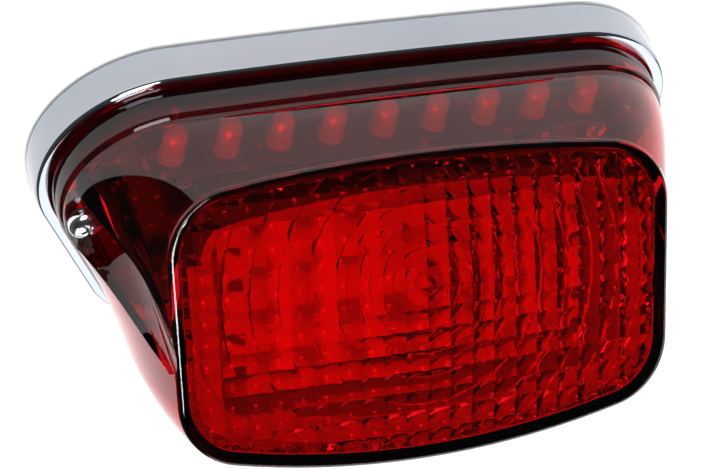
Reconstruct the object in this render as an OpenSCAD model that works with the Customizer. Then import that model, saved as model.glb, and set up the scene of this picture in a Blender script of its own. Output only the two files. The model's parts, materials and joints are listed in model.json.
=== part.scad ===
// Lay-down LED tail light for a motorcycle.
// The mounting face lies on z = 0 and the lens rises along +Z.
// The short wall of the lens faces -Y and the deep end faces +Y.
// The origin is the middle of the base's bounding rectangle, on the mounting face.

/* [Base] */
// Overall width of the base
base_w = 140; // [136:1:146]
// Overall depth of the base, from the short wall's side to the deep end
base_d = 80; // [80:1:84]
// Height of the rolled rim above the mounting face
rim_top = 10; // [9.5:0.1:10.4]
// Thickness of the base floor
floor_t = 2.5; // [2:0.1:3]
// Thickness of the rubber pad under the base
pad_t = 2; // [1.5:0.1:2]
// Distance between the mounting inserts across the base
mount_dx = 64; // [60:1:68]
// Distance between the mounting inserts along the base
mount_dy = 36; // [32:1:36]
// Nominal bore radius of a mounting insert
mount_r = 2.5; // [2:0.5:2.5]

/* [Lens] */
// Wall thickness of the lens
lens_t = 2.6; // [2:0.1:3]
// Height of the flange's front edge
flange_top = 15.9; // [15.4:0.1:16.2]
// Height at which the lens body starts
foot_z = 17.6; // [17.4:0.1:18]
// Tilt of the face towards the short wall
face_tilt = 37; // [35:1:38]
// Height of the middle of the face
face_z = 52; // [51:0.5:54]
// Position of the middle of the face along Y
face_y = -15.8; // [-16:0.1:-15]
// Width of the face
face_w = 108; // [107:1:110]
// How far the face crowns in its middle
face_crown = 2; // [0:0.1:3]
// Radius that blends the face into the walls
edge_r = 1.2; // [0.8:0.1:1.6]
// How far the deep end's wall swells outwards halfway up
wall_bulge = 3.8; // [0:0.1:4]

/* [Screwdriver pockets] */
// Radius of a pocket
pocket_r = 10; // [9:0.5:10]
// Distance of a pocket's axis from the middle plane
pocket_x = 63.2; // [63:0.1:64]
// Position of the pockets along Y
pocket_y = -9; // [-10:0.5:-8.5]

/* [Lamps] */
// Number of lamps in the row behind the short wall
row_count = 9; // [4:1:9]
// Distance between two lamps of that row
row_pitch = 11.2; // [9:0.1:11.2]
// Columns of lamps behind the face
array_cols = 8; // [4:1:8]
// Rows of lamps behind the face
array_rows = 4; // [2:1:4]
// Radius of a lamp's body
lamp_r = 2.5; // [1.5:0.1:2.5]

/* [Hidden] */
$fn = 40;

// An outline is two pairs of round corners joined by bowed front and rear edges:
// [front x, front y, front radius, front reach, rear x, rear y, rear radius, rear reach].
// A reach runs from the level of the corner centres to the middle of the bowed edge.
front_r = 26.8;
front_reach = 27.6;
rear_x = 34.5;
rear_r = 21.5;
rear_reach = 23;
BASE = [base_w / 2 - front_r, front_reach - base_d / 2, front_r, front_reach,
    rear_x, base_d / 2 - rear_reach, rear_r, rear_reach];
face_r = 14.5;
FACE = [face_w / 2 - face_r, -11.5, face_r, 17, face_w / 2 - face_r - 0.7, 17, face_r, 19];
corner_steps = 9;
bow_steps = 8;
side_steps = 8;
wall_steps = 6;

// Levels of the base
skirt_z = 1;
floor_z = pad_t;
inside_z = floor_z + floor_t;
ledge_z = 6;
flange_z = 7.6;
rim_inset = 2.9;
ledge_inset = 6.6;
lip_gap = 0.2;
foot_inset = 4;
pad_inset = 5;

// Boards and their fixings
board_t = 1.6;
board_z = 10.5;
board_top = board_z + board_t;
board_inset = 8.4;
post_r = 3.2;
post_x = 46;
post_front = -17;
post_rear = 26;
plate_board_y = -22.8;
plate_board_w = 98;
plate_board_h = 9.8;
plate_lamp_z = 17;
brake_drop = 21;
brake_board_inset = 8.2;
brake_mid = 4;
array_pitch_x = 10;
array_pitch_y = 9;
brake_hole_x = 39.8;
brake_hole_y = 9;
shroud_t = 1.6;
shroud_top = 6;
shroud_rim_inset = 4.6;
shroud_rim_front = -10;
ear_h = 6;
ear_r = 3;
ear_reach = 9;
carrier_x = 33;
carrier_t = 3;
foot_h = 2.4;
carrier_foot_x = 38.5;
carrier_foot_y = [-12, 16];

// Lens screws and what they pass through
screw_x = 61.6;
seat_z = foot_z;
seat_t = 3;
boss_top = seat_z - seat_t - 0.2;
boss_r = 3.9;
boss_gap = 0.25;
shank_r = 2;
insert_r = 2.8;
fit_gap = 0.02;
insert_l = 8;
washer_t = 0.8;
washer_r = 3.4;
head_r = 3.8;
head_h = 2.8;

// Mounting inserts and their bosses
mount_y = -2;
mount_boss_r = 6;
mount_boss_top = 9.6;
mount_insert_r = 3.6;
mount_insert_top = 8.6;

// Connector inlet in the floor
socket_size = [26, 14];
socket_wall = 1.8;
socket_y = 25;
socket_z = 1;
socket_web = 1.5;
pin_pitch = 5;
pin_size = 1;

function arc(centre, radius, from, to, steps) = [for (i = [1:steps])
    let (a = from + (to - from) * i / steps)
    [centre.x + radius * cos(a), centre.y + radius * sin(a)]];

function bow_r(half, reach, radius) =
    (half * half + reach * reach - radius * radius) / (2 * (reach - radius));

// Points along a straight side whose ends have the normal at angle a
function side_points(from, to, r0, r1, a) = [for (i = [1:side_steps])
    let (k = i / side_steps)
    (1 - k) * (from + r0 * [cos(a), sin(a)]) + k * (to + r1 * [cos(a), sin(a)])];

function outline(o, inset = 0) =
    let (front = bow_r(o[0], o[3], o[2]))
    let (rear = bow_r(o[4], o[7], o[6]))
    let (fa = asin(o[0] / (front - o[2])))
    let (ra = asin(o[4] / (rear - o[6])))
    let (run = [o[4] - o[0], o[5] - o[1]])
    let (side = atan2(run.y, run.x) - acos((o[2] - o[6]) / norm(run)))
    concat(
        arc([0, o[1] - o[3] + front], front - inset, 270 - fa, 270 + fa, bow_steps),
        arc([o[0], o[1]], o[2] - inset, -90 + fa, side, corner_steps),
        side_points([o[0], o[1]], [o[4], o[5]], o[2] - inset, o[6] - inset, side),
        arc([o[4], o[5]], o[6] - inset, side, 90 - ra, corner_steps),
        arc([0, o[5] + o[7] - rear], rear - inset, 90 - ra, 90 + ra, bow_steps),
        arc([-o[4], o[5]], o[6] - inset, 90 + ra, 180 - side, corner_steps),
        side_points([-o[4], o[5]], [-o[0], o[1]], o[6] - inset, o[2] - inset, 180 - side),
        arc([-o[0], o[1]], o[2] - inset, 180 - side, 270 - fa, corner_steps));

// A level ring of the base family at height z
function level(inset, z) = [for (p = outline(BASE, inset)) [p.x, p.y, z]];

// A point of the tilted face frame, h above the face plane
function on_face(x, y, h) = [x, face_y + y * cos(face_tilt) - h * sin(face_tilt),
    face_z + y * sin(face_tilt) + h * cos(face_tilt)];

function face_ring(inset, h, shrink = 1) = [for (p = outline(FACE, inset))
    on_face(p.x * shrink, p.y * shrink, h)];

// A closed skin over a stack of rings with equal numbers of points
module skin(rings) {
    n = len(rings[0]);
    last = len(rings) - 1;
    sides = [for (j = [0:last - 1], i = [0:n - 1])
        let (a = j * n + i, b = j * n + (i + 1) % n)
        each [[a, a + n, b + n], [a, b + n, b]]];
    bottom = [for (i = [0:n - 1]) i];
    top = [for (i = [n - 1:-1:0]) last * n + i];
    polyhedron([for (r = rings) each r], concat([bottom], sides, [top]));
}

module plate(inset, z0, z1) {
    translate([0, 0, z0]) linear_extrude(z1 - z0) polygon(outline(BASE, inset));
}

module at_pockets() {
    for (s = [-1, 1]) translate([s * pocket_x, pocket_y, 0]) children();
}

module at_screws() {
    for (s = [-1, 1]) translate([s * screw_x, pocket_y, 0]) children();
}

module at_mounts() {
    for (sx = [-1, 1], sy = [-1, 1])
        translate([sx * mount_dx / 2, mount_y + sy * mount_dy / 2, 0]) children();
}

module at_posts() {
    for (s = [-1, 1]) translate([s * post_x, post_front, 0]) children();
    for (s = [-1, 1]) translate([s * (post_x - 12), post_rear, 0]) children();
}

module at_carrier_feet() {
    for (s = [-1, 1], y = carrier_foot_y) translate([s * carrier_foot_x, y, 0]) children();
}

module in_face_frame(h) {
    translate([0, face_y, face_z]) rotate([face_tilt, 0, 0]) translate([0, 0, h]) children();
}

module at_brake_holes() {
    for (sx = [-1, 1], sy = [-1, 1])
        translate([sx * brake_hole_x, brake_mid + sy * brake_hole_y, 0]) children();
}

// A pan head screw with a cross recess, head seat on z = 0, pointing down
module pan_screw(shank, length, head, height) {
    difference() {
        union() {
            translate([0, 0, -length]) cylinder(r = shank, h = length);
            intersection() {
                cylinder(r = head, h = height);
                translate([0, 0, height - head * 1.6]) sphere(r = head * 1.6);
            }
        }
        for (a = [0, 90]) rotate([0, 0, a])
            translate([-head * 0.55, -head * 0.11, height * 0.45])
                cube([head * 1.1, head * 0.22, height]);
    }
}

// A round lamp standing on z = 0 with its flange, body and domed tip
module lamp() {
    cylinder(r = lamp_r + 0.4, h = 1);
    translate([0, 0, 0.5]) cylinder(r = lamp_r, h = 5.6);
    translate([0, 0, 6.1]) sphere(r = lamp_r);
}

module chrome_base() {
    color([0.72, 0.74, 0.78]) difference() {
        union() {
            difference() {
                skin([level(0.8, skirt_z), level(0.15, skirt_z + 0.5), level(0, skirt_z + 1.4),
                    level(0, rim_top - 1.3), level(0.1, rim_top - 0.7), level(0.35, rim_top - 0.25),
                    level(0.8, rim_top), level(2.4, rim_top), level(rim_inset - 0.15, rim_top - 0.2),
                    level(rim_inset - 0.05, rim_top - 0.6), level(rim_inset - 0.05, rim_top - 1.2)]);
                plate(rim_inset, ledge_z, rim_top + 1);
                plate(ledge_inset, inside_z, rim_top);
            }
            at_screws() translate([0, 0, inside_z - 0.5])
                cylinder(r = boss_r, h = boss_top - inside_z + 0.5);
            at_mounts() translate([0, 0, inside_z - 0.5])
                cylinder(r = mount_boss_r, h = mount_boss_top - inside_z + 0.5);
            at_posts() translate([0, 0, inside_z - 0.5])
                cylinder(r = post_r, h = board_z - inside_z + 0.5);
        }
        plate(pad_inset, 0, floor_z);
        at_screws() translate([0, 0, boss_top - insert_l]) cylinder(r = insert_r, h = insert_l + 1);
        at_screws() translate([0, 0, inside_z + 0.3]) cylinder(r = shank_r + 0.1, h = boss_top);
        at_mounts() translate([0, 0, -1]) cylinder(r = mount_insert_r, h = mount_insert_top + 1);
        at_posts() translate([0, 0, inside_z + 0.3]) cylinder(r = 1.25, h = board_z);
        translate([-socket_size.x / 2 - 0.3, socket_y - socket_size.y / 2 - 0.3, -1])
            cube([socket_size.x + 0.6, socket_size.y + 0.6, inside_z + 2]);
    }
}

module mounting_gasket() {
    color([0.07, 0.07, 0.07]) difference() {
        plate(pad_inset + 0.2, 0, floor_z);
        at_mounts() translate([0, 0, -1]) cylinder(r = mount_insert_r + 1, h = pad_t + 2);
        translate([-socket_size.x / 2 - 2, socket_y - socket_size.y / 2 - 2, -1])
            cube([socket_size.x + 4, socket_size.y + 4, pad_t + 2]);
    }
}

module mount_inserts() {
    color([0.78, 0.6, 0.28]) at_mounts() difference() {
        translate([0, 0, floor_z]) cylinder(r = mount_insert_r, h = mount_insert_top - floor_z);
        translate([0, 0, floor_z - 1]) cylinder(r = mount_r, h = mount_insert_top - floor_z);
    }
}

module screw_inserts() {
    color([0.78, 0.6, 0.28]) at_screws() translate([0, 0, boss_top - insert_l]) difference() {
        cylinder(r = insert_r, h = insert_l);
        translate([0, 0, -1]) cylinder(r = shank_r + fit_gap, h = insert_l + 2);
    }
}

module lens_gasket() {
    color([0.1, 0.1, 0.1]) difference() {
        plate(rim_inset + lip_gap, ledge_z, flange_z);
        plate(ledge_inset - 0.4, ledge_z - 1, flange_z + 1);
        at_screws() translate([0, 0, ledge_z - 1]) cylinder(r = boss_r + boss_gap, h = 4);
    }
}

// A ring of the wall, a share k of the way up, which swells most where the wall is tallest
function wall_ring(t, k) =
    let (swell = wall_bulge * 4 * k * (1 - k))
    let (rise = 2 * face_z - 2 * foot_z)
    let (low = level(foot_inset + t, foot_z), high = face_ring(t, -edge_r - t))
    let (low_out = level(foot_inset + t - swell, foot_z), high_out = face_ring(t - swell, -edge_r - t))
    [for (i = [0:len(low) - 1])
        let (w = (high[i].z - foot_z) / rise)
        (1 - w) * ((1 - k) * low[i] + k * high[i]) + w * ((1 - k) * low_out[i] + k * high_out[i])];

// Rings of the lens skin, t inside its outer surface
function lens_rings(t) = concat(
    [for (k = [[0, flange_z - (t > 0 ? 1 : 0)], [0, flange_top], [0.3, flange_top + 0.9]])
        level(k[0] + rim_inset + lip_gap + (t > 0 ? t + 0.9 : 0), k[1])],
    [for (k = [0:wall_steps - 1]) wall_ring(t, k / wall_steps)],
    [for (a = [0, 30, 60, 90])
        face_ring(t + edge_r * (1 - cos(a)), edge_r * (sin(a) - 1) - t)],
    [for (s = [0.72, 0.42]) face_ring(t + edge_r, face_crown * (1 - s * s) - t, s)]);

module lens() {
    color([0.72, 0.03, 0.05, 0.8]) difference() {
        skin(lens_rings(0));
        difference() {
            skin(lens_rings(lens_t));
            at_pockets() translate([0, 0, seat_z - seat_t]) cylinder(r = pocket_r + lens_t, h = face_z);
        }
        at_pockets() translate([0, 0, seat_z]) cylinder(r = pocket_r, h = face_z);
        at_screws() translate([0, 0, seat_z - seat_t - 1]) cylinder(r = shank_r + 0.3, h = seat_t + 2);
        at_screws() translate([0, 0, flange_z - 1])
            cylinder(r = boss_r + boss_gap, h = boss_top - flange_z + 1.2);
    }
}

module lens_screws() {
    color([0.85, 0.86, 0.88]) at_screws() translate([0, 0, seat_z + washer_t])
        rotate([0, 0, 25]) pan_screw(shank_r, 12.4, head_r, head_h);
}

module screw_washers() {
    color([0.12, 0.12, 0.12]) at_screws() translate([0, 0, seat_z]) difference() {
        cylinder(r = washer_r, h = washer_t);
        translate([0, 0, -1]) cylinder(r = shank_r + fit_gap, h = washer_t + 2);
    }
}

module main_board() {
    color([0.05, 0.3, 0.14]) difference() {
        plate(board_inset, board_z, board_top);
        at_screws() translate([0, 0, board_z - 1]) cylinder(r = boss_r + 1.4, h = board_t + 2);
        at_posts() translate([0, 0, board_z - 1]) cylinder(r = 1.6, h = board_t + 2);
        at_carrier_feet() translate([0, 0, board_z - 1]) cylinder(r = 1.3 + fit_gap, h = board_t + 2);
    }
}

module board_screws() {
    color([0.6, 0.6, 0.63]) at_posts() translate([0, 0, board_top]) pan_screw(1.25, 7, 2.6, 1.8);
}

module plate_led_board() {
    color([0.05, 0.3, 0.14]) translate([-plate_board_w / 2, plate_board_y, board_top])
        cube([plate_board_w, board_t, plate_board_h]);
}

module plate_brackets() {
    color([0.75, 0.75, 0.72]) for (s = [-1, 1])
        translate([s * 28 - 4, plate_board_y + board_t, board_top]) {
            cube([8, 1, 9]);
            cube([8, 5, 1]);
        }
}

module plate_leds() {
    color([0.85, 0.85, 0.85]) for (i = [0:row_count - 1])
        translate([(i - (row_count - 1) / 2) * row_pitch, plate_board_y, plate_lamp_z])
            rotate([90, 0, 0]) lamp();
}

// Side plates cut to the slope of the brake board, joined by two bars, with four screwed feet
module led_carrier() {
    color([0.12, 0.12, 0.13]) difference() {
        union() {
            intersection() {
                union() {
                    for (s = [-1, 1]) translate([s * carrier_x - carrier_t / 2, -16, board_top])
                        cube([carrier_t, 32, 40]);
                    for (y = [-15, 2]) translate([-carrier_x, y, board_top + 3])
                        cube([2 * carrier_x, carrier_t, 7]);
                }
                in_face_frame(-brake_drop - board_t - 60) translate([-60, -60, 0]) cube([120, 120, 60]);
            }
            for (s = [-1, 1]) translate([s * carrier_x - carrier_t / 2, 6, board_top])
                cube([carrier_t, 13, foot_h]);
            in_face_frame(-brake_drop - board_t - ear_h) {
                at_brake_holes() cylinder(r = ear_r, h = ear_h);
                for (x = [-brake_hole_x, brake_hole_x - ear_reach], y = [-brake_hole_y, brake_hole_y])
                    translate([x, brake_mid + y - ear_r, 0]) cube([ear_reach, 2 * ear_r, ear_h]);
            }
            at_carrier_feet() {
                translate([0, 0, board_top]) cylinder(r = 3.6, h = foot_h);
            }
            for (s = [-1, 1], y = carrier_foot_y)
                translate([s * (carrier_x + 2) - 3, y - 3, board_top]) cube([6, 6, foot_h]);
        }
        at_carrier_feet() translate([0, 0, board_z]) cylinder(r = 1.3 + fit_gap, h = 8);
        in_face_frame(-brake_drop - board_t - ear_h + 0.5) at_brake_holes()
            cylinder(r = 1.3 + fit_gap, h = ear_h);
    }
}

module carrier_screws() {
    color([0.6, 0.6, 0.63]) at_carrier_feet() translate([0, 0, board_top + foot_h])
        pan_screw(1.3, foot_h + board_t - 0.1, 2.5, 1.8);
}

module brake_led_board() {
    color([0.88, 0.88, 0.86]) in_face_frame(-brake_drop - board_t) difference() {
        linear_extrude(board_t) polygon(outline(FACE, brake_board_inset));
        at_brake_holes() translate([0, 0, -1]) cylinder(r = 1.3 + fit_gap, h = board_t + 2);
    }
}

module brake_board_screws() {
    color([0.6, 0.6, 0.63]) in_face_frame(-brake_drop) at_brake_holes() pan_screw(1.3, 6, 2.4, 1.6);
}

module brake_leds() {
    color([0.85, 0.85, 0.85]) in_face_frame(-brake_drop)
        for (i = [0:array_cols - 1], j = [0:array_rows - 1])
            translate([(i - (array_cols - 1) / 2) * array_pitch_x,
                brake_mid + (j - (array_rows - 1) / 2) * array_pitch_y, 0]) lamp();
}

// A grey wall that stands on the brake board, with a rim on top along the sides and the deep end
module light_shroud() {
    color([0.45, 0.45, 0.46]) in_face_frame(-brake_drop) difference() {
        union() {
            linear_extrude(brake_drop - shroud_top) polygon(outline(FACE, brake_board_inset));
            intersection() {
                translate([0, 0, brake_drop - shroud_top - 1]) linear_extrude(1)
                    polygon(outline(FACE, shroud_rim_inset));
                translate([-face_w, shroud_rim_front, 0]) cube([2 * face_w, face_w, face_w]);
            }
        }
        translate([0, 0, -1]) linear_extrude(brake_drop)
            polygon(outline(FACE, brake_board_inset + shroud_t));
    }
}

module resistors() {
    color([0.1, 0.1, 0.1]) for (i = [0:5]) translate([-22 + i * 7, 9, board_top]) cube([3.2, 1.6, 0.6]);
}

module regulator() {
    color([0.12, 0.12, 0.13]) {
        translate([-18, 14, board_top]) cube([10, 9, 4.4]);
        translate([-18, 23, board_top]) difference() {
            cube([10, 6.4, 1.3]);
            translate([5, 3.4, -1]) cylinder(r = 1.5, h = 4);
        }
    }
}

module regulator_screw() {
    color([0.6, 0.6, 0.63]) translate([-13, 26.4, board_top + 1.3]) pan_screw(1.5, 1.3, 2.8, 1.8);
}

module capacitor() {
    color([0.15, 0.18, 0.35]) translate([3, 19, board_top]) cylinder(r = 4, h = 8.5);
}

module diodes() {
    color([0.08, 0.08, 0.08]) for (x = [11, 18]) translate([x, 15, board_top]) cube([4.4, 6.5, 2.3]);
}

module connector_socket() {
    color([0.09, 0.09, 0.1]) translate([-socket_size.x / 2, socket_y - socket_size.y / 2, socket_z])
        difference() {
            cube([socket_size.x, socket_size.y, board_z - socket_z]);
            translate([socket_wall, socket_wall, -1])
                cube([socket_size.x - 2 * socket_wall, socket_size.y - 2 * socket_wall,
                    board_z - socket_z + 1 - socket_web]);
            for (i = [0:3]) translate([socket_size.x / 2 + (i - 1.5) * pin_pitch - pin_size / 2,
                (socket_size.y - pin_size) / 2, 0]) cube([pin_size, pin_size, board_z]);
        }
}

module connector_pins() {
    color([0.8, 0.62, 0.3]) for (i = [0:3])
        translate([(i - 1.5) * pin_pitch - pin_size / 2, socket_y - pin_size / 2, 5.6])
            cube([pin_size, pin_size, board_z - 5.6]);
}

chrome_base();
mounting_gasket();
mount_inserts();
screw_inserts();
lens_gasket();
lens();
lens_screws();
screw_washers();
main_board();
board_screws();
plate_led_board();
plate_brackets();
plate_leds();
led_carrier();
carrier_screws();
brake_led_board();
brake_board_screws();
brake_leds();
light_shroud();
resistors();
regulator();
regulator_screw();
capacitor();
diodes();
connector_socket();
connector_pins();
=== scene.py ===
"""Looks of the lay-down LED tail light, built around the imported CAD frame."""
import json
import math

import bmesh
import bpy
import mathutils
import numpy as np
from mathutils import Matrix, Vector

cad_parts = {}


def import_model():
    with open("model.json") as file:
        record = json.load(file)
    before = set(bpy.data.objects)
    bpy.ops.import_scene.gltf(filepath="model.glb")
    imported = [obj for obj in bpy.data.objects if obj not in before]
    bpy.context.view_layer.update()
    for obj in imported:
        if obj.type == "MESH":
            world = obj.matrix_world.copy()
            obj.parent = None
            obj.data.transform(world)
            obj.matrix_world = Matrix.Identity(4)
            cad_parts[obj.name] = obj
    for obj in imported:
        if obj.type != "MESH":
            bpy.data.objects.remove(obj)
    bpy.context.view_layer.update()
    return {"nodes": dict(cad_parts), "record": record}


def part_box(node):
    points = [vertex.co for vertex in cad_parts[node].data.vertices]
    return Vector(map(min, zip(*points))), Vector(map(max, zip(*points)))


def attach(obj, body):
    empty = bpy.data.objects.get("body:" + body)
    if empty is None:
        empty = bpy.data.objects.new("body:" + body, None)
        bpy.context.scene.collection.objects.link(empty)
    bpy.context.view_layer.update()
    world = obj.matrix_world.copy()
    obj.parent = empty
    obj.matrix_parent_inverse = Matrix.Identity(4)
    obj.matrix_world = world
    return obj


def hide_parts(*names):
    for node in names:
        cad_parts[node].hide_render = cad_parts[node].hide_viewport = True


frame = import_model()
nodes = frame["nodes"]
MM = 0.001
BODY = "root"


# ---------------------------------------------------------------- frame sizes, in millimetres

base_lo, base_hi = (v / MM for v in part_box("chrome_base"))
lens_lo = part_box("lens")[0] / MM
screw_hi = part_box("lens_screws")[1] / MM

BASE_W = base_hi.x - base_lo.x
BASE_D = base_hi.y - base_lo.y
FRONT_R, FRONT_REACH = 26.8, 27.6
REAR_X, REAR_R, REAR_REACH = 34.5, 21.5, 23
BASE = (BASE_W / 2 - FRONT_R, FRONT_REACH - BASE_D / 2, FRONT_R, FRONT_REACH,
        REAR_X, BASE_D / 2 - REAR_REACH, REAR_R, REAR_REACH)
FACE_W, FACE_R = 108, 14.5
FACE = (FACE_W / 2 - FACE_R, -11.5, FACE_R, 17, FACE_W / 2 - FACE_R - 0.7, 17, FACE_R, 19)
FACE_TILT = math.radians(37)
FACE_Y, FACE_Z = -15.8, 52.0
FACE_CROWN = 1.9
EDGE_R, INNER_R = 1.2, 0.3
WALL_BULGE = 3.8
LENS_T = 2.6
FLANGE_Z, FLANGE_TOP, FOOT_Z = lens_lo.z, 15.9, 17.6
RIM_INSET, LIP_GAP, FOOT_INSET = 2.9, 0.2, 4.0
RIM_TOP = 10.0
POCKET_R, POCKET_X, POCKET_Y = 10.0, 63.2, -9.0
LENS_TOP = 80
SEAT_T = 3.0
BOSS_R, BOSS_GAP = 3.9, 0.25
BOSS_TOP = FOOT_Z - SEAT_T - 0.2
SHANK_R, SHANK_L, SHANK_HOLE_R, INSERT_R = 2.0, 12.4, 2.3, 2.8
HEAD_R, HEAD_H, WASHER_T = 3.8, 2.8, 0.8
SCREW_X = screw_hi.x - HEAD_R
SKIRT_Z, PAD_TOP, INSIDE_Z, LEDGE_Z = 1.0, 2.0, 4.5, 6.0
PAD_INSET, LEDGE_INSET = 5.0, 6.6

# Places in plan: the lens screws, the mounting bosses and the posts of the main board
SCREWS = [(s * SCREW_X, POCKET_Y) for s in (-1, 1)]
MOUNTS = [(sx * 32, -2 + sy * 18) for sx in (-1, 1) for sy in (-1, 1)]
POSTS = [(s * x, y) for s in (-1, 1) for x, y in ((46, -17), (34, 26))]
MOUNT_R, MOUNT_TOP, MOUNT_BORE_R, MOUNT_BORE_TOP = 6, 9.6, 3.6, 8.6
POST_R, POST_TOP = 3.2, 10.5
INLET = ((-13.3, 17.7, 0), (13.3, 32.3, 6))

# Lamps: the row stands on the upright board, the array on the board below the face
ROW_COUNT, ROW_PITCH, ROW_Y, ROW_Z = 9, 11.2, -22.8, 17
ARRAY_COLUMNS, ARRAY_ROWS, ARRAY_PITCH_X, ARRAY_PITCH_Y = 8, 4, 10, 9
ARRAY_MID, ARRAY_DROP = 4, 21


# ---------------------------------------------------------------- outlines

def arc(centre, radius, start, end, steps):
    """Points after the first along an arc, angles in degrees."""
    angles = np.radians(start + (end - start) * np.arange(1, steps + 1) / steps)
    return np.stack([centre[0] + radius * np.cos(angles), centre[1] + radius * np.sin(angles)], 1)


def bow_radius(half, reach, radius):
    """Radius of a bowed edge that is tangent to its two corner arcs."""
    return (half ** 2 + reach ** 2 - radius ** 2) / (2 * (reach - radius))


def side_points(start, end, r0, r1, angle, steps):
    """Points along a straight side that is tangent to two corner arcs."""
    normal = np.array([math.cos(math.radians(angle)), math.sin(math.radians(angle))])
    a, b = np.array(start) + r0 * normal, np.array(end) + r1 * normal
    k = np.arange(1, steps + 1)[:, None] / steps
    return (1 - k) * a + k * b


def outline(shape, inset=0.0, detail=4):
    """The closed outline of the base or the face, counter-clockwise from its front left corner."""
    fx, fy, fr, reach_f, rx, ry, rr, reach_r = shape
    front, rear = bow_radius(fx, reach_f, fr), bow_radius(rx, reach_r, rr)
    fa = math.degrees(math.asin(fx / (front - fr)))
    ra = math.degrees(math.asin(rx / (rear - rr)))
    run = (rx - fx, ry - fy)
    side = math.degrees(math.atan2(run[1], run[0]) - math.acos((fr - rr) / math.hypot(*run)))
    corner, bow, straight = 7 * detail, 10 * detail, 6 * detail
    return np.concatenate([
        arc((0, fy - reach_f + front), front - inset, 270 - fa, 270 + fa, bow),
        arc((fx, fy), fr - inset, fa - 90, side, corner),
        side_points((fx, fy), (rx, ry), fr - inset, rr - inset, side, straight),
        arc((rx, ry), rr - inset, side, 90 - ra, corner),
        arc((0, ry + reach_r - rear), rear - inset, 90 - ra, 90 + ra, bow),
        arc((-rx, ry), rr - inset, 90 + ra, 180 - side, corner),
        side_points((-rx, ry), (-fx, fy), rr - inset, fr - inset, 180 - side, straight),
        arc((-fx, fy), fr - inset, 180 - side, 270 - fa, corner)])


def level(inset, z, detail=4):
    """A level ring of the base family at height z."""
    flat = outline(BASE, inset, detail)
    return np.column_stack([flat, np.full(len(flat), z)])


def on_face(x, y, h):
    """Points of the tilted face frame, h above the face plane."""
    c, s = math.cos(FACE_TILT), math.sin(FACE_TILT)
    return np.stack([x, FACE_Y + y * c - h * s, FACE_Z + y * s + h * c], -1)


def crown(x, y):
    """Height of the crowned outer face above its plane."""
    u = np.clip((x / (FACE_W / 2 - EDGE_R)) ** 2 + ((y - 3) / 30) ** 2, 0, 1)
    return FACE_CROWN * (1 - u)


def face_ring(inset, h):
    """A ring of the face family, h above the face plane."""
    flat = outline(FACE, inset)
    return on_face(flat[:, 0], flat[:, 1], np.full(len(flat), h))


# ---------------------------------------------------------------- mesh helpers

def make_object(name, mesh_or_bm, material, replaced=(), sharp=35):
    """Turns a mesh in millimetres into a riding piece in metres."""
    mesh = to_mesh(mesh_or_bm, name) if isinstance(mesh_or_bm, bmesh.types.BMesh) else mesh_or_bm
    mesh.transform(Matrix.Scale(MM, 4))
    piece = bpy.data.objects.new(name, mesh)
    bpy.context.scene.collection.objects.link(piece)
    mesh.materials.append(material)
    mesh.shade_smooth()
    mesh.set_sharp_from_angle(angle=math.radians(sharp))
    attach(piece, BODY)
    if replaced:
        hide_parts(*replaced)
    return piece


def add_rings(bm, rings, cap_first=True, cap_last=True):
    """A skin over a stack of rings, added to bm; returns its rows of vertices."""
    rows = [[bm.verts.new(p) for p in ring] for ring in rings]
    n = len(rows[0])
    for low, high in zip(rows, rows[1:]):
        for i in range(n):
            j = (i + 1) % n
            bm.faces.new((low[i], low[j], high[j], high[i]))
    if cap_first:
        bm.faces.new(rows[0][::-1])
    if cap_last:
        bm.faces.new(rows[-1])
    return rows


def skin(rings):
    """A bmesh closed over a stack of rings."""
    bm = bmesh.new()
    add_rings(bm, rings)
    return bm


def turned(profile, steps=48):
    """A bmesh of revolution about Z from (radius, z) points whose ends lie on the axis."""
    bm = bmesh.new()
    inner = profile[1:-1]
    rows = []
    for radius, z in inner:
        rows.append([bm.verts.new((radius * math.cos(a), radius * math.sin(a), z))
                     for a in np.linspace(0, 2 * math.pi, steps, endpoint=False)])
    for low, high in zip(rows, rows[1:]):
        for i in range(steps):
            j = (i + 1) % steps
            bm.faces.new((low[i], low[j], high[j], high[i]))
    for end, row, flip in ((profile[0], rows[0], True), (profile[-1], rows[-1], False)):
        tip = bm.verts.new((0, 0, end[1]))
        for i in range(steps):
            j = (i + 1) % steps
            bm.faces.new((row[j], row[i], tip) if flip else (row[i], row[j], tip))
    return bm


def to_mesh(bm, name):
    """A mesh with the contents of bm, which is freed."""
    mesh = bpy.data.meshes.new(name)
    bm.to_mesh(mesh)
    bm.free()
    return mesh


def temp_object(bm, name="cutter"):
    """An object for booleans, with its normals facing out."""
    bmesh.ops.recalc_face_normals(bm, faces=bm.faces)
    made = bpy.data.objects.new(name, to_mesh(bm, name))
    bpy.context.scene.collection.objects.link(made)
    return made


def boolean(target, cutters, operation="DIFFERENCE"):
    """Applies exact booleans to target's mesh and removes the cutters."""
    for cutter in cutters:
        step = target.modifiers.new("step", "BOOLEAN")
        step.operation = operation
        step.solver = "EXACT"
        step.object = cutter
    deps = bpy.context.evaluated_depsgraph_get()
    result = bpy.data.meshes.new_from_object(target.evaluated_get(deps))
    target.modifiers.clear()
    target.data = result
    for cutter in cutters:
        bpy.data.objects.remove(cutter)
    return result


def cylinder_bm(place, z0, z1, radius, steps=64):
    """An upright cylinder at a place in plan."""
    bm = turned([(0, z0), (radius, z0), (radius, z1), (0, z1)], steps)
    bmesh.ops.translate(bm, vec=(*place, 0), verts=bm.verts)
    return bm


def box_bm(lo, hi):
    """A box between two corners."""
    bm = bmesh.new()
    bmesh.ops.create_cube(bm, size=1)
    for v in bm.verts:
        v.co = [lo[k] if v.co[k] < 0 else hi[k] for k in range(3)]
    return bm


# ---------------------------------------------------------------- materials

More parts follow.
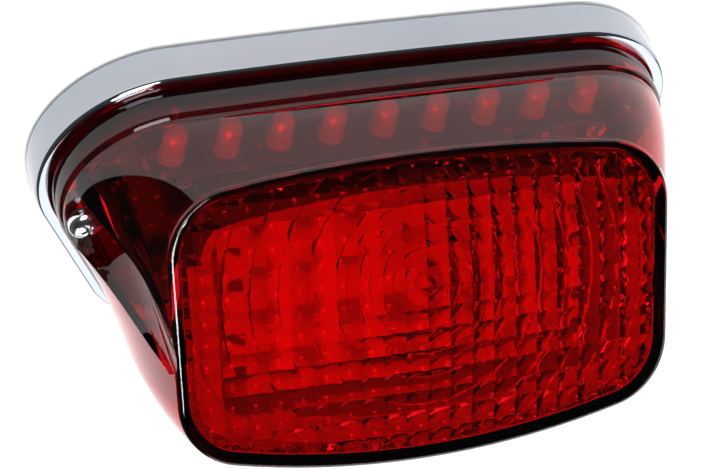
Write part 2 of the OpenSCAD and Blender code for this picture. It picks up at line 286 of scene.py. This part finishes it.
class Nodes:
    """A short way to build one procedural material."""

    def __init__(self, name):
        self.material = bpy.data.materials.new(name)
        self.material.use_nodes = True
        self.tree = self.material.node_tree
        self.shader = self.tree.nodes["Principled BSDF"]

    def set(self, **values):
        for key, value in values.items():
            self.shader.inputs[key.replace("_", " ")].default_value = value
        return self

    def node(self, kind, **values):
        made = self.tree.nodes.new(kind)
        for key, value in values.items():
            if hasattr(made, key):
                setattr(made, key, value)
            else:
                made.inputs[key.replace("_", " ")].default_value = value
        return made

    def link(self, source, target):
        self.tree.links.new(source, target)

    def coords(self):
        return self.node("ShaderNodeTexCoord").outputs["Object"]

    def noise(self, scale, detail=3.0, rough=0.5):
        made = self.node("ShaderNodeTexNoise", Scale=scale, Detail=detail, Roughness=rough)
        self.link(self.coords(), made.inputs["Vector"])
        return made.outputs["Fac"]

    def ramp(self, source, stops):
        made = self.node("ShaderNodeValToRGB")
        ramp = made.color_ramp
        while len(ramp.elements) < len(stops):
            ramp.elements.new(0.5)
        for element, (place, colour) in zip(ramp.elements, stops):
            element.position = place
            element.color = colour if len(colour) == 4 else (*colour, 1)
        self.link(source, made.inputs["Fac"])
        return made.outputs["Color"]

    def spread(self, source, low, high):
        made = self.node("ShaderNodeMapRange")
        made.inputs["To Min"].default_value = low
        made.inputs["To Max"].default_value = high
        self.link(source, made.inputs["Value"])
        return made.outputs["Result"]

    def bump(self, source, strength, distance=0.0002):
        made = self.node("ShaderNodeBump", Strength=strength, Distance=distance)
        self.link(source, made.inputs["Height"])
        self.link(made.outputs["Normal"], self.shader.inputs["Normal"])

    def to(self, source, socket):
        self.link(source, self.shader.inputs[socket])


def plain(name, dark, light, rough, scale, bump=0.1, **values):
    """A material whose colour and roughness drift a little over the surface."""
    m = Nodes(name).set(**values)
    drift = m.noise(scale)
    m.to(m.ramp(drift, [(0.3, dark), (0.7, light)]), "Base Color")
    m.to(m.spread(m.noise(scale * 2.3), *rough), "Roughness")
    m.bump(m.noise(scale * 8, 2), bump, 0.00005)
    return m.material


def chrome_material():
    """Bright plate, dark enough to read mid-grey beside a white floor."""
    m = Nodes("chrome_plate").set(Metallic=1.0)
    drift = m.noise(30)
    m.to(m.ramp(drift, [(0.3, (0.38, 0.41, 0.46)), (0.7, (0.42, 0.45, 0.49))]), "Base Color")
    m.to(m.spread(m.noise(220, 4), 0.03, 0.07), "Roughness")
    m.bump(m.noise(90, 2), 0.02, 0.0001)
    return m.material


def lens_material():
    """Clear red plastic that also lets lamp light straight through to the boards inside."""
    m = Nodes("red_polycarbonate")
    m.set(Transmission_Weight=1.0, IOR=1.49)
    m.to(m.ramp(m.noise(25), [(0.3, (0.44, 0.0015, 0.004)), (0.7, (0.50, 0.002, 0.006))]), "Base Color")
    m.to(m.spread(m.noise(120, 3), 0.005, 0.02), "Roughness")
    m.bump(m.noise(60, 2), 0.01, 0.0001)
    clear = m.node("ShaderNodeBsdfTransparent", Color=(0.71, 0.03, 0.05, 1))
    mix = m.node("ShaderNodeMixShader")
    m.link(m.node("ShaderNodeLightPath").outputs["Is Shadow Ray"], mix.inputs["Fac"])
    m.link(m.shader.outputs["BSDF"], mix.inputs[1])
    m.link(clear.outputs["BSDF"], mix.inputs[2])
    m.link(mix.outputs["Shader"], m.tree.nodes["Material Output"].inputs["Surface"])
    return m.material


def board_material():
    """Green solder mask over a fine net of tracks."""
    m = Nodes("green_solder_mask").set(Coat_Weight=0.5, Coat_Roughness=0.15)
    tracks = m.node("ShaderNodeTexVoronoi", Scale=260.0, distance="MANHATTAN")
    m.link(m.coords(), tracks.inputs["Vector"])
    m.to(m.ramp(tracks.outputs["Distance"], [(0.25, (0.30, 0.33, 0.22)), (0.32, (0.02, 0.16, 0.07))]),
         "Base Color")
    m.to(m.spread(m.noise(90), 0.3, 0.45), "Roughness")
    m.bump(tracks.outputs["Distance"], 0.2, 0.0001)
    return m.material


MAT = {
    "chrome": chrome_material(),
    "red_lens": lens_material(),
    "rubber": plain("black_rubber", (0.018, 0.018, 0.018), (0.03, 0.03, 0.03), (0.6, 0.8), 90, 0.4),
    "foam_rubber": plain("foam_rubber", (0.02, 0.02, 0.02), (0.045, 0.045, 0.045), (0.8, 0.95), 400, 0.8),
    "brass": plain("brass_insert", (0.62, 0.43, 0.16), (0.78, 0.58, 0.26), (0.2, 0.35), 150, 0.2,
                   Metallic=1.0),
    "screw_chrome": plain("screw_plate", (0.72, 0.74, 0.76), (0.84, 0.85, 0.86), (0.08, 0.18), 300, 0.2,
                          Metallic=1.0),
    "green_board": board_material(),
    "white_board": plain("white_solder_mask", (0.78, 0.78, 0.76), (0.86, 0.86, 0.84), (0.25, 0.4), 80, 0.2),
    "zinc_steel": plain("zinc_steel", (0.5, 0.5, 0.53), (0.66, 0.66, 0.68), (0.25, 0.4), 400, 0.3,
                        Metallic=1.0),
    "lamp_epoxy": plain("clear_epoxy", (0.9, 0.9, 0.9), (0.97, 0.97, 0.97), (0.03, 0.08), 120, 0.05,
                        Transmission_Weight=0.7),
    "red_lamp_epoxy": plain("red_epoxy", (0.78, 0.05, 0.05), (0.86, 0.08, 0.08), (0.25, 0.35), 120, 0.05,
                            Transmission_Weight=0.05),
    # Near-black material for the inside of the chrome base: painted shade under the lens.
    "painted_inside_shade": plain("painted_shade_inside_base", (0.03, 0.03, 0.033), (0.05, 0.05, 0.053), (0.5, 0.7), 200, 0.4,
                         Metallic=0.5),
    "reflector_plastic": plain("grey_reflector", (0.36, 0.36, 0.37), (0.46, 0.46, 0.47), (0.25, 0.4), 70,
                               0.15),
    "black_plastic": plain("black_plastic", (0.02, 0.02, 0.022), (0.04, 0.04, 0.042), (0.35, 0.55), 200, 0.3),
    "can_sleeve": plain("can_sleeve", (0.06, 0.08, 0.22), (0.09, 0.12, 0.3), (0.2, 0.3), 80, 0.1),
}

slot_of = {part["node"]: part["material_slot"] for part in frame["record"]["subparts"]}
for node_name, node_object in nodes.items():
    node_object.data.materials.clear()
    node_object.data.materials.append(MAT[slot_of[node_name]])


# ---------------------------------------------------------------- chrome base

def chrome_base():
    """The plated base with its rolled rim, bosses and posts; inside it a near-black colour paints the shade
    under the lens.
    """
    edge, top = RIM_INSET - 0.05, RIM_TOP
    roll = [(0.0, top - 1.3), (0.05, top - 0.9), (0.18, top - 0.52), (0.38, top - 0.23), (0.62, top - 0.06),
            (0.9, top), (2.4, top), (2.62, top - 0.06), (edge - 0.08, top - 0.22), (edge, top - 0.6)]
    foot = [(PAD_INSET, PAD_TOP), (PAD_INSET, SKIRT_Z), (0.9, SKIRT_Z), (0.45, SKIRT_Z + 0.12),
            (0.12, SKIRT_Z + 0.5), (0.0, SKIRT_Z + 1.2)]
    inside = [(edge, LEDGE_Z), (LEDGE_INSET, LEDGE_Z), (LEDGE_INSET, INSIDE_Z)]
    body = temp_object(skin([level(i, z, 6) for i, z in foot + roll + inside]), "chrome_base_shape")
    sunk = INSIDE_Z - 0.9
    bosses = [cylinder_bm(at, sunk, BOSS_TOP, BOSS_R) for at in SCREWS]
    bosses += [cylinder_bm(at, sunk, MOUNT_TOP, MOUNT_R) for at in MOUNTS]
    bosses += [cylinder_bm(at, sunk, POST_TOP, POST_R) for at in POSTS]
    boolean(body, [temp_object(b) for b in bosses], "UNION")
    cuts = [cylinder_bm(at, INSIDE_Z + 0.3, BOSS_TOP + 0.6, INSERT_R) for at in SCREWS]
    cuts += [cylinder_bm(at, 0, MOUNT_BORE_TOP, MOUNT_BORE_R) for at in MOUNTS]
    cuts.append(box_bm(*INLET))
    mesh = boolean(body, [temp_object(c) for c in cuts])
    bpy.data.objects.remove(body)
    # Faces inside the rim get the near-black second material, which paints the shade under the lens.
    inner = outline(BASE, RIM_INSET + 0.3, 2)
    faces = [f for f in mesh.polygons if f.center.z > 3]
    hollow = inside_convex(np.array([f.center[:2] for f in faces]), inner)
    housing = make_object("chrome_housing", mesh, MAT["chrome"], ["chrome_base"], sharp=32)
    housing.data.materials.append(MAT["painted_inside_shade"])
    for face, in_painted_shade in zip(faces, hollow):
        face.material_index = int(in_painted_shade)
    return housing


# ---------------------------------------------------------------- lens

ROW, COLUMN = 4.3, 4.8
RING_Y, FINE_RING, FINE_REACH, WIDE_RING = -0.85, 2.45, 19.6, 5.8
CUSHION_X, CUSHION_Y, ROW_STEP, FINE_STEP, WIDE_STEP = 0.62, 0.55, 0.55, 1.05, 1.65
STEP = 0.03
PLAN_HALF_Y = 38.0
COLUMN_POINTS, ROW_POINTS, FINE_COUNT, WIDE_COUNT = 120, 160, 8, 6
COLUMN_SHARES, ROW_SHARES = np.array([0.17, 0.33, 0.5, 0.67, 0.83]), np.array([0.17, 0.39, 0.61, 0.83])


def relief(x, y):
    """Depth of the moulded optics on the inside of the face: tiles, stepped rows and rings."""
    radius = np.hypot(x, y - RING_Y)
    row_phase = (y / ROW) % 1.0
    column_phase = (x / COLUMN) % 1.0
    tile = CUSHION_X * (1 - (2 * column_phase - 1) ** 2) + CUSHION_Y * (1 - (2 * row_phase - 1) ** 2)
    fine = FINE_STEP * ((radius / FINE_RING) % 1.0)
    wide = WIDE_STEP * (((radius - FINE_REACH) / WIDE_RING) % 1.0)
    return tile + ROW_STEP * (1 - row_phase) + np.where(radius < FINE_REACH, fine, wide)


def relief_lines():
    """Runs of plan points along both sides of every step and along every crease of the relief."""
    half_x, half_y = FACE_W / 2, PLAN_HALF_Y
    columns, rows = int(half_x / COLUMN), int(half_y / ROW)
    along = np.linspace(-half_y, half_y, COLUMN_POINTS)
    across = np.linspace(-half_x, half_x, ROW_POINTS)
    runs = [np.column_stack([np.full(COLUMN_POINTS, COLUMN * i), along])
            for i in range(-columns, columns + 1)]
    for i in range(-rows, rows + 1):
        for side in (-STEP, STEP):
            runs.append(np.column_stack([across, np.full(ROW_POINTS, ROW * i + side)]))
    edges = [FINE_RING * i for i in range(1, FINE_COUNT + 1)]
    edges += [FINE_REACH + WIDE_RING * i for i in range(1, WIDE_COUNT + 1)]
    for edge in edges:
        for side in (-STEP, STEP):
            a = np.linspace(0, 2 * math.pi, int(60 + 4 * edge))
            runs.append(np.column_stack([(edge + side) * np.cos(a), RING_Y + (edge + side) * np.sin(a)]))
    return runs


def inner_face_plan(loop, margin):
    """The plan of the inner face: its rim, the lines of the relief and a grid of points between them."""
    points, edges = [loop], [(i, (i + 1) % len(loop)) for i in range(len(loop))]
    count = len(loop)
    for run in relief_lines():
        keep = inside_convex(run, margin)
        points.append(run)
        edges += [(count + i, count + i + 1) for i in range(len(run) - 1) if keep[i] and keep[i + 1]]
        count += len(run)
    xs = COLUMN * (np.arange(-12, 12)[:, None] + COLUMN_SHARES).ravel()
    ys = ROW * (np.arange(-9, 9)[:, None] + ROW_SHARES).ravel()
    gx, gy = np.meshgrid(xs, ys)
    points.append(np.column_stack([gx.ravel(), gy.ravel()]))
    plan = np.concatenate(points)
    wanted = np.concatenate([np.ones(len(loop), bool), inside_convex(plan[len(loop):], margin)])
    place = np.cumsum(wanted) - 1
    kept_edges = [(int(place[a]), int(place[b])) for a, b in edges if wanted[a] and wanted[b]]
    return [Vector(p) for p in plan[wanted]], kept_edges


def inside_convex(points, loop):
    """Which points lie inside a convex counter-clockwise loop."""
    keep = np.ones(len(points), bool)
    for a, b in zip(loop, np.roll(loop, -1, 0)):
        edge = b - a
        keep &= edge[0] * (points[:, 1] - a[1]) - edge[1] * (points[:, 0] - a[0]) > 1e-6
    return keep


def wall_ring(t, k):
    """A ring of the wall, a share k of the way up, which swells most where the wall is tallest."""
    swell = WALL_BULGE * 4 * k * (1 - k)
    low, high = level(FOOT_INSET + t, FOOT_Z), face_ring(t, -EDGE_R - t)
    low_out, high_out = level(FOOT_INSET + t - swell, FOOT_Z), face_ring(t - swell, -EDGE_R - t)
    share = ((high[:, 2] - FOOT_Z) / (2 * FACE_Z - 2 * FOOT_Z))[:, None]
    return (1 - share) * ((1 - k) * low + k * high) + share * ((1 - k) * low_out + k * high_out)


def lens_shell(t):
    """Rings of the lens skin, t inside its outer surface, without the face.

    The inner skin's flange stands a little further in and starts lower, so that the hollow is open below.
    """
    extra = t + 0.9 if t else 0.0
    start = FLANGE_Z - (1 if t else 0)
    flange = [(0, start), (0, FLANGE_TOP - 0.4), (0.12, FLANGE_TOP), (0.4, FLANGE_TOP + 0.5),
              (0.75, FLANGE_TOP + 0.9)]
    if not t:
        flange = [(0.5, start), (0, start + 0.5)] + flange[1:]
    rings = [level(k + RIM_INSET + LIP_GAP + extra, z) for k, z in flange]
    if not t:
        rings.append(level(FOOT_INSET - 0.12, FOOT_Z - 0.5))
    rings += [wall_ring(t, k) for k in np.linspace(0, 1, 19)[:-1]]
    edge = INNER_R if t else EDGE_R
    for a in np.radians(np.linspace(0, 90, 7)):
        rings.append(face_ring(t + edge * (1 - math.cos(a)), edge * (math.sin(a) - 1) - t))
    return rings


def crowned_rings():
    """Rings of the crowned outer face, from its edge to near its middle."""
    loop = outline(FACE, EDGE_R)
    rings = []
    for shrink in np.linspace(0.97, 0.02, 24):
        x, y = (loop * shrink).T
        rings.append(on_face(x, y, crown(x, y) - crown(*loop.T) * shrink))
    return rings


def cavity():
    """The hollow of the lens, closed by the relief of the face."""
    bm = bmesh.new()
    rows = add_rings(bm, lens_shell(LENS_T), cap_last=False)
    loop = outline(FACE, LENS_T + INNER_R)
    margin = outline(FACE, LENS_T + INNER_R + 0.2)
    plan, edges = inner_face_plan(loop, margin)
    points, _, faces, origins, _, _ = mathutils.geometry.delaunay_2d_cdt(plan, edges, [], 1, 1e-5)
    flat = np.array([tuple(p) for p in points])
    depth = crown(flat[:, 0], flat[:, 1]) - LENS_T
    pattern = -relief(flat[:, 0], flat[:, 1])
    lifted = on_face(flat[:, 0], flat[:, 1], depth + pattern)
    made = []
    for i, origin in enumerate(origins):
        rim = [o for o in origin if o < len(loop)]
        made.append(rows[-1][rim[0]] if rim else bm.verts.new(lifted[i]))
    for face in faces:
        corners = [made[i] for i in face]
        if len(set(corners)) == 3:
            bm.faces.new(corners)
    return bm


def lens():
    """The red lens, with its pockets, screw holes and the hollow that its bosses reach into."""
    outer = temp_object(skin(lens_shell(0) + crowned_rings()), "lens_shape")
    hollow = temp_object(cavity(), "lens_hollow")
    pockets = [(s * POCKET_X, POCKET_Y) for s in (-1, 1)]
    walls = [cylinder_bm(at, FOOT_Z - SEAT_T, LENS_TOP, POCKET_R + LENS_T, 96) for at in pockets]
    boolean(hollow, [temp_object(w) for w in walls])
    cuts = [hollow]
    for pocket, screw in zip(pockets, SCREWS):
        cuts.append(temp_object(cylinder_bm(pocket, FOOT_Z, LENS_TOP, POCKET_R, 96)))
        cuts.append(temp_object(cylinder_bm(screw, 12, 20, SHANK_HOLE_R)))
        cuts.append(temp_object(cylinder_bm(screw, LEDGE_Z, BOSS_TOP + 0.2, BOSS_R + BOSS_GAP)))
    mesh = boolean(outer, cuts)
    bpy.data.objects.remove(outer)
    return make_object("red_lens", mesh, MAT["red_lens"], ["lens"], sharp=28)


chrome_base()
lens()


# ---------------------------------------------------------------- screws and lamps

def pan_screw_mesh(shank, length, head, height, turn):
    """A pan head screw with a rolled edge, a domed top and a tapered cross recess, seat on z = 0.

    The dome's and the recess's numbers are shares of the head's radius and height.
    """
    dome = [(head * math.cos(a), height * (0.42 + 0.58 * math.sin(a)))
            for a in np.radians(np.linspace(0, 84, 12))]
    rim = [(head - 0.18, 0.0), (head - 0.04, 0.08), (head, 0.22)]
    tip = [(0, -length), (shank - 0.35, -length), (shank, 0.4 - length), (shank, -0.02)]
    bm = turned(tip + rim + dome + [(0, height)], 56)
    body = temp_object(bm, "screw_shape")
    cuts = []
    for quarter in (0, 90):
        cut = box_bm((-head * 0.56, -head * 0.12, height * 0.42), (head * 0.56, head * 0.12, height * 1.3))
        for v in cut.verts:
            if v.co.z < height:
                v.co.x *= 0.62
                v.co.y *= 0.7
        bmesh.ops.rotate(cut, cent=(0, 0, 0), verts=cut.verts,
                         matrix=Matrix.Rotation(math.radians(quarter + turn), 3, "Z"))
        cuts.append(temp_object(cut))
    mesh = boolean(body, cuts)
    bpy.data.objects.remove(body)
    return mesh


def lens_screws():
    """The two lens screws, each with its cross turned a little differently."""
    bm = bmesh.new()
    for side, turn in ((-1, 25), (1, 38)):
        mesh = pan_screw_mesh(SHANK_R, SHANK_L, HEAD_R, HEAD_H, turn)
        mesh.transform(Matrix.Translation((side * SCREW_X, POCKET_Y, FOOT_Z + WASHER_T)))
        bm.from_mesh(mesh)
    make_object("lens_screw_set", bm, MAT["screw_chrome"], ["lens_screws"], sharp=30)


def lamp_bm():
    """The epoxy of one 5 mm round lamp, with its flange, taper and domed tip, as (radius, z) points."""
    dome = [(2.48 * math.cos(a), 6.1 + 2.48 * math.sin(a)) for a in np.radians(np.linspace(0, 82, 12))]
    body = [(0, 0), (2.7, 0), (2.88, 0.18), (2.88, 0.85), (2.7, 1.0), (2.5, 1.05)]
    return turned(body + dome + [(0, 8.58)], 40)


def cup_bm():
    """The metal cup and posts inside a lamp."""
    cup = [(0, 2.6), (0.55, 2.6), (0.75, 3.4), (1.25, 3.7), (1.25, 4.3), (1.1, 4.3), (0.6, 3.75), (0, 3.7)]
    bm = turned(cup, 24)
    for x in (-0.95, 0.7):
        bm.from_mesh(to_mesh(box_bm((x, -0.25, 0.3), (x + 0.5, 0.25, 3.2)), "post"))
    return bm


def lamp_set(name, places, maker, slot_name, replaced=()):
    """One mesh with a copy of a lamp's epoxy or cup at every place of a board."""
    one = to_mesh(maker(), "one")
    bm = bmesh.new()
    for place in places:
        moved = one.copy()
        moved.transform(place)
        bm.from_mesh(moved)
        bpy.data.meshes.remove(moved)
    make_object(name, bm, MAT[slot_name], replaced, sharp=40)


def lamps():
    """The row behind the short wall and the array behind the face."""
    out = Matrix.Rotation(math.radians(90), 4, "X")
    row = [Matrix.Translation(((i - (ROW_COUNT - 1) / 2) * ROW_PITCH, ROW_Y, ROW_Z)) @ out
           for i in range(ROW_COUNT)]
    lamp_set("plate_lamps", row, lamp_bm, "lamp_epoxy", ["plate_leds"])
    lamp_set("plate_lamp_cups", row, cup_bm, "screw_chrome")
    face = Matrix.Translation((0, FACE_Y, FACE_Z)) @ Matrix.Rotation(FACE_TILT, 4, "X")
    array = [face @ Matrix.Translation(((i - (ARRAY_COLUMNS - 1) / 2) * ARRAY_PITCH_X,
                                        ARRAY_MID + (j - (ARRAY_ROWS - 1) / 2) * ARRAY_PITCH_Y, -ARRAY_DROP))
             for i in range(ARRAY_COLUMNS) for j in range(ARRAY_ROWS)]
    lamp_set("brake_lamps", array, lamp_bm, "red_lamp_epoxy", ["brake_leds"])


lens_screws()
lamps()


# ---------------------------------------------------------------- stage

FLOOR_HALF, FLOOR_EDGE_X = 1.3, 0.12


def floor():
    """A pale table top that ends a little past the +X side, so that side mirrors a darker room."""
    bm = bmesh.new()
    bmesh.ops.create_grid(bm, x_segments=4, y_segments=4, size=FLOOR_HALF)
    mesh = to_mesh(bm, "floor")
    made = bpy.data.objects.new("floor", mesh)
    bpy.context.scene.collection.objects.link(made)
    m = Nodes("pale_floor").set(Roughness=0.9)
    m.to(m.ramp(m.noise(2), [(0.0, (0.86, 0.86, 0.86)), (1.0, (0.88, 0.88, 0.88))]), "Base Color")
    mesh.materials.append(m.material)
    made.location = (FLOOR_EDGE_X - FLOOR_HALF, 0, -0.0002)


def light(name, place, target, size, power):
    """A rectangular softbox that faces its target."""
    data = bpy.data.lights.new(name, "AREA")
    data.shape = "RECTANGLE"
    data.size, data.size_y = size
    data.energy = power
    made = bpy.data.objects.new(name, data)
    made.location = place
    made.rotation_euler = (Vector(target) - Vector(place)).to_track_quat("-Z", "Y").to_euler()
    bpy.context.scene.collection.objects.link(made)


def world():
    """A dim room, brighter near the horizon than overhead."""
    made = bpy.data.worlds.new("studio")
    made.use_nodes = True
    tree = made.node_tree
    place = tree.nodes.new("ShaderNodeTexCoord")
    split = tree.nodes.new("ShaderNodeSeparateXYZ")
    ramp = tree.nodes.new("ShaderNodeValToRGB")
    stops = [(0.0, 0.03), (0.2, 0.12), (0.5, 0.08), (0.75, 0.03)]
    while len(ramp.color_ramp.elements) < len(stops):
        ramp.color_ramp.elements.new(0.5)
    for element, (spot, grey) in zip(ramp.color_ramp.elements, stops):
        element.position = spot
        element.color = (grey, grey, grey, 1)
    tree.links.new(place.outputs["Generated"], split.inputs["Vector"])
    tree.links.new(split.outputs["Z"], ramp.inputs["Fac"])
    tree.links.new(ramp.outputs["Color"], tree.nodes["Background"].inputs["Color"])
    tree.nodes["Background"].inputs["Strength"].default_value = 1.0
    bpy.context.scene.world = made


CAMERA_LENS, CAMERA_AT = 144.91, (0.20451, -0.44727, 0.36105)
CAMERA_RIGHT = Vector((-0.93311, -0.18695, 0.30714))
CAMERA_UP = Vector((-0.12508, -0.63211, -0.76472))


def camera():
    """The photo's camera: about 0.6 m away and upside down."""
    data = bpy.data.cameras.new("camera")
    data.sensor_width = 36
    data.lens = CAMERA_LENS
    data.clip_end = 50
    made = bpy.data.objects.new("camera", data)
    turn = Matrix((CAMERA_RIGHT, CAMERA_UP, CAMERA_RIGHT.cross(CAMERA_UP))).transposed()
    made.matrix_world = Matrix.Translation(CAMERA_AT) @ turn.to_4x4()
    bpy.context.scene.collection.objects.link(made)
    bpy.context.scene.camera = made


floor()
world()
light("front", (0.45, -1.35, 0.95), (0, 0, 0.03), (0.9, 0.5), 10)
light("top", (0.42, -0.70, 1.45), (0, 0, 0.03), (0.6, 0.6), 26)
light("back", (-0.45, 1.0, 0.8), (0, 0, 0.0), (1.8, 1.1), 13)
light("right", (-1.35, 0.2, 0.8), (0, 0, 0.02), (0.6, 1.2), 5)
light("spark", (0.12, -0.95, 1.25), (0, 0, 0.04), (0.07, 0.07), 3)
camera()
bpy.context.scene.view_settings.view_transform = "Standard"
